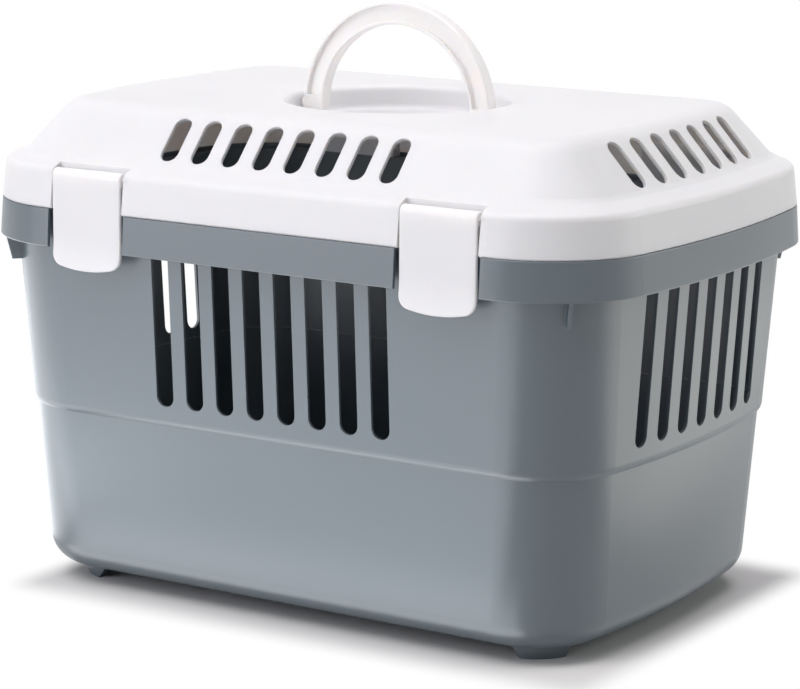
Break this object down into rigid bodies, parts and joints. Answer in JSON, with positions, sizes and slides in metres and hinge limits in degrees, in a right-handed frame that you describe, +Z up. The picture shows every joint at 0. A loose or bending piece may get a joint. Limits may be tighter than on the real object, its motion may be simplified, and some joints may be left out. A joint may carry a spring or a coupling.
{
  "type": "cat carrier",
  "caption": "Box-shaped pet carrier: a slotted plastic tub on low feet, a domed slotted lid held by hinged side clips, and a half-ring handle that folds into a round dish.",
  "frame": {"origin": "centre of the footprint, on the floor under the feet", "axes": "+X along the length, -Y the front with two of the clips, +Z up"},
  "size_m": [0.4908, 0.3384, 0.3891],
  "materials": {
    "tub": "satin",
    "lid": "semi-gloss",
    "handle": "semi-gloss",
    "clips": "semi-gloss"
  },
  "bodies": {
    "tub": {"tub": "tub"},
    "lid": {"lid": "lid"},
    "handle": {"handle": "handle"},
    "clip_front_left": {"clip_front_left": "clips"},
    "clip_front_right": {"clip_front_right": "clips"},
    "clip_back_left": {"clip_back_left": "clips"},
    "clip_back_right": {"clip_back_right": "clips"}
  },
  "joints": [
    {"name": "lid_lift", "type": "slide", "parent": "tub", "child": "lid", "axis": [0, 0, 1], "range_m": [0, 0.12]},
    {"name": "handle_fold", "type": "hinge", "parent": "lid", "child": "handle", "pos_m": [0, 0, 0.3173], "axis": [1, 0, 0], "range_deg": [-90, 90]},
    {"name": "latch_front_left", "type": "hinge", "parent": "lid", "child": "clip_front_left", "pos_m": [-0.1314, -0.162, 0.2812], "axis": [-1, 0, 0], "range_deg": [0, 100]},
    {"name": "latch_front_right", "type": "hinge", "parent": "lid", "child": "clip_front_right", "pos_m": [0.1314, -0.162, 0.2812], "axis": [-1, 0, 0], "range_deg": [0, 100]},
    {"name": "latch_back_left", "type": "hinge", "parent": "lid", "child": "clip_back_left", "pos_m": [-0.1314, 0.162, 0.2812], "axis": [1, 0, 0], "range_deg": [0, 100]},
    {"name": "latch_back_right", "type": "hinge", "parent": "lid", "child": "clip_back_right", "pos_m": [0.1314, 0.162, 0.2812], "axis": [1, 0, 0], "range_deg": [0, 100]}
  ]
}
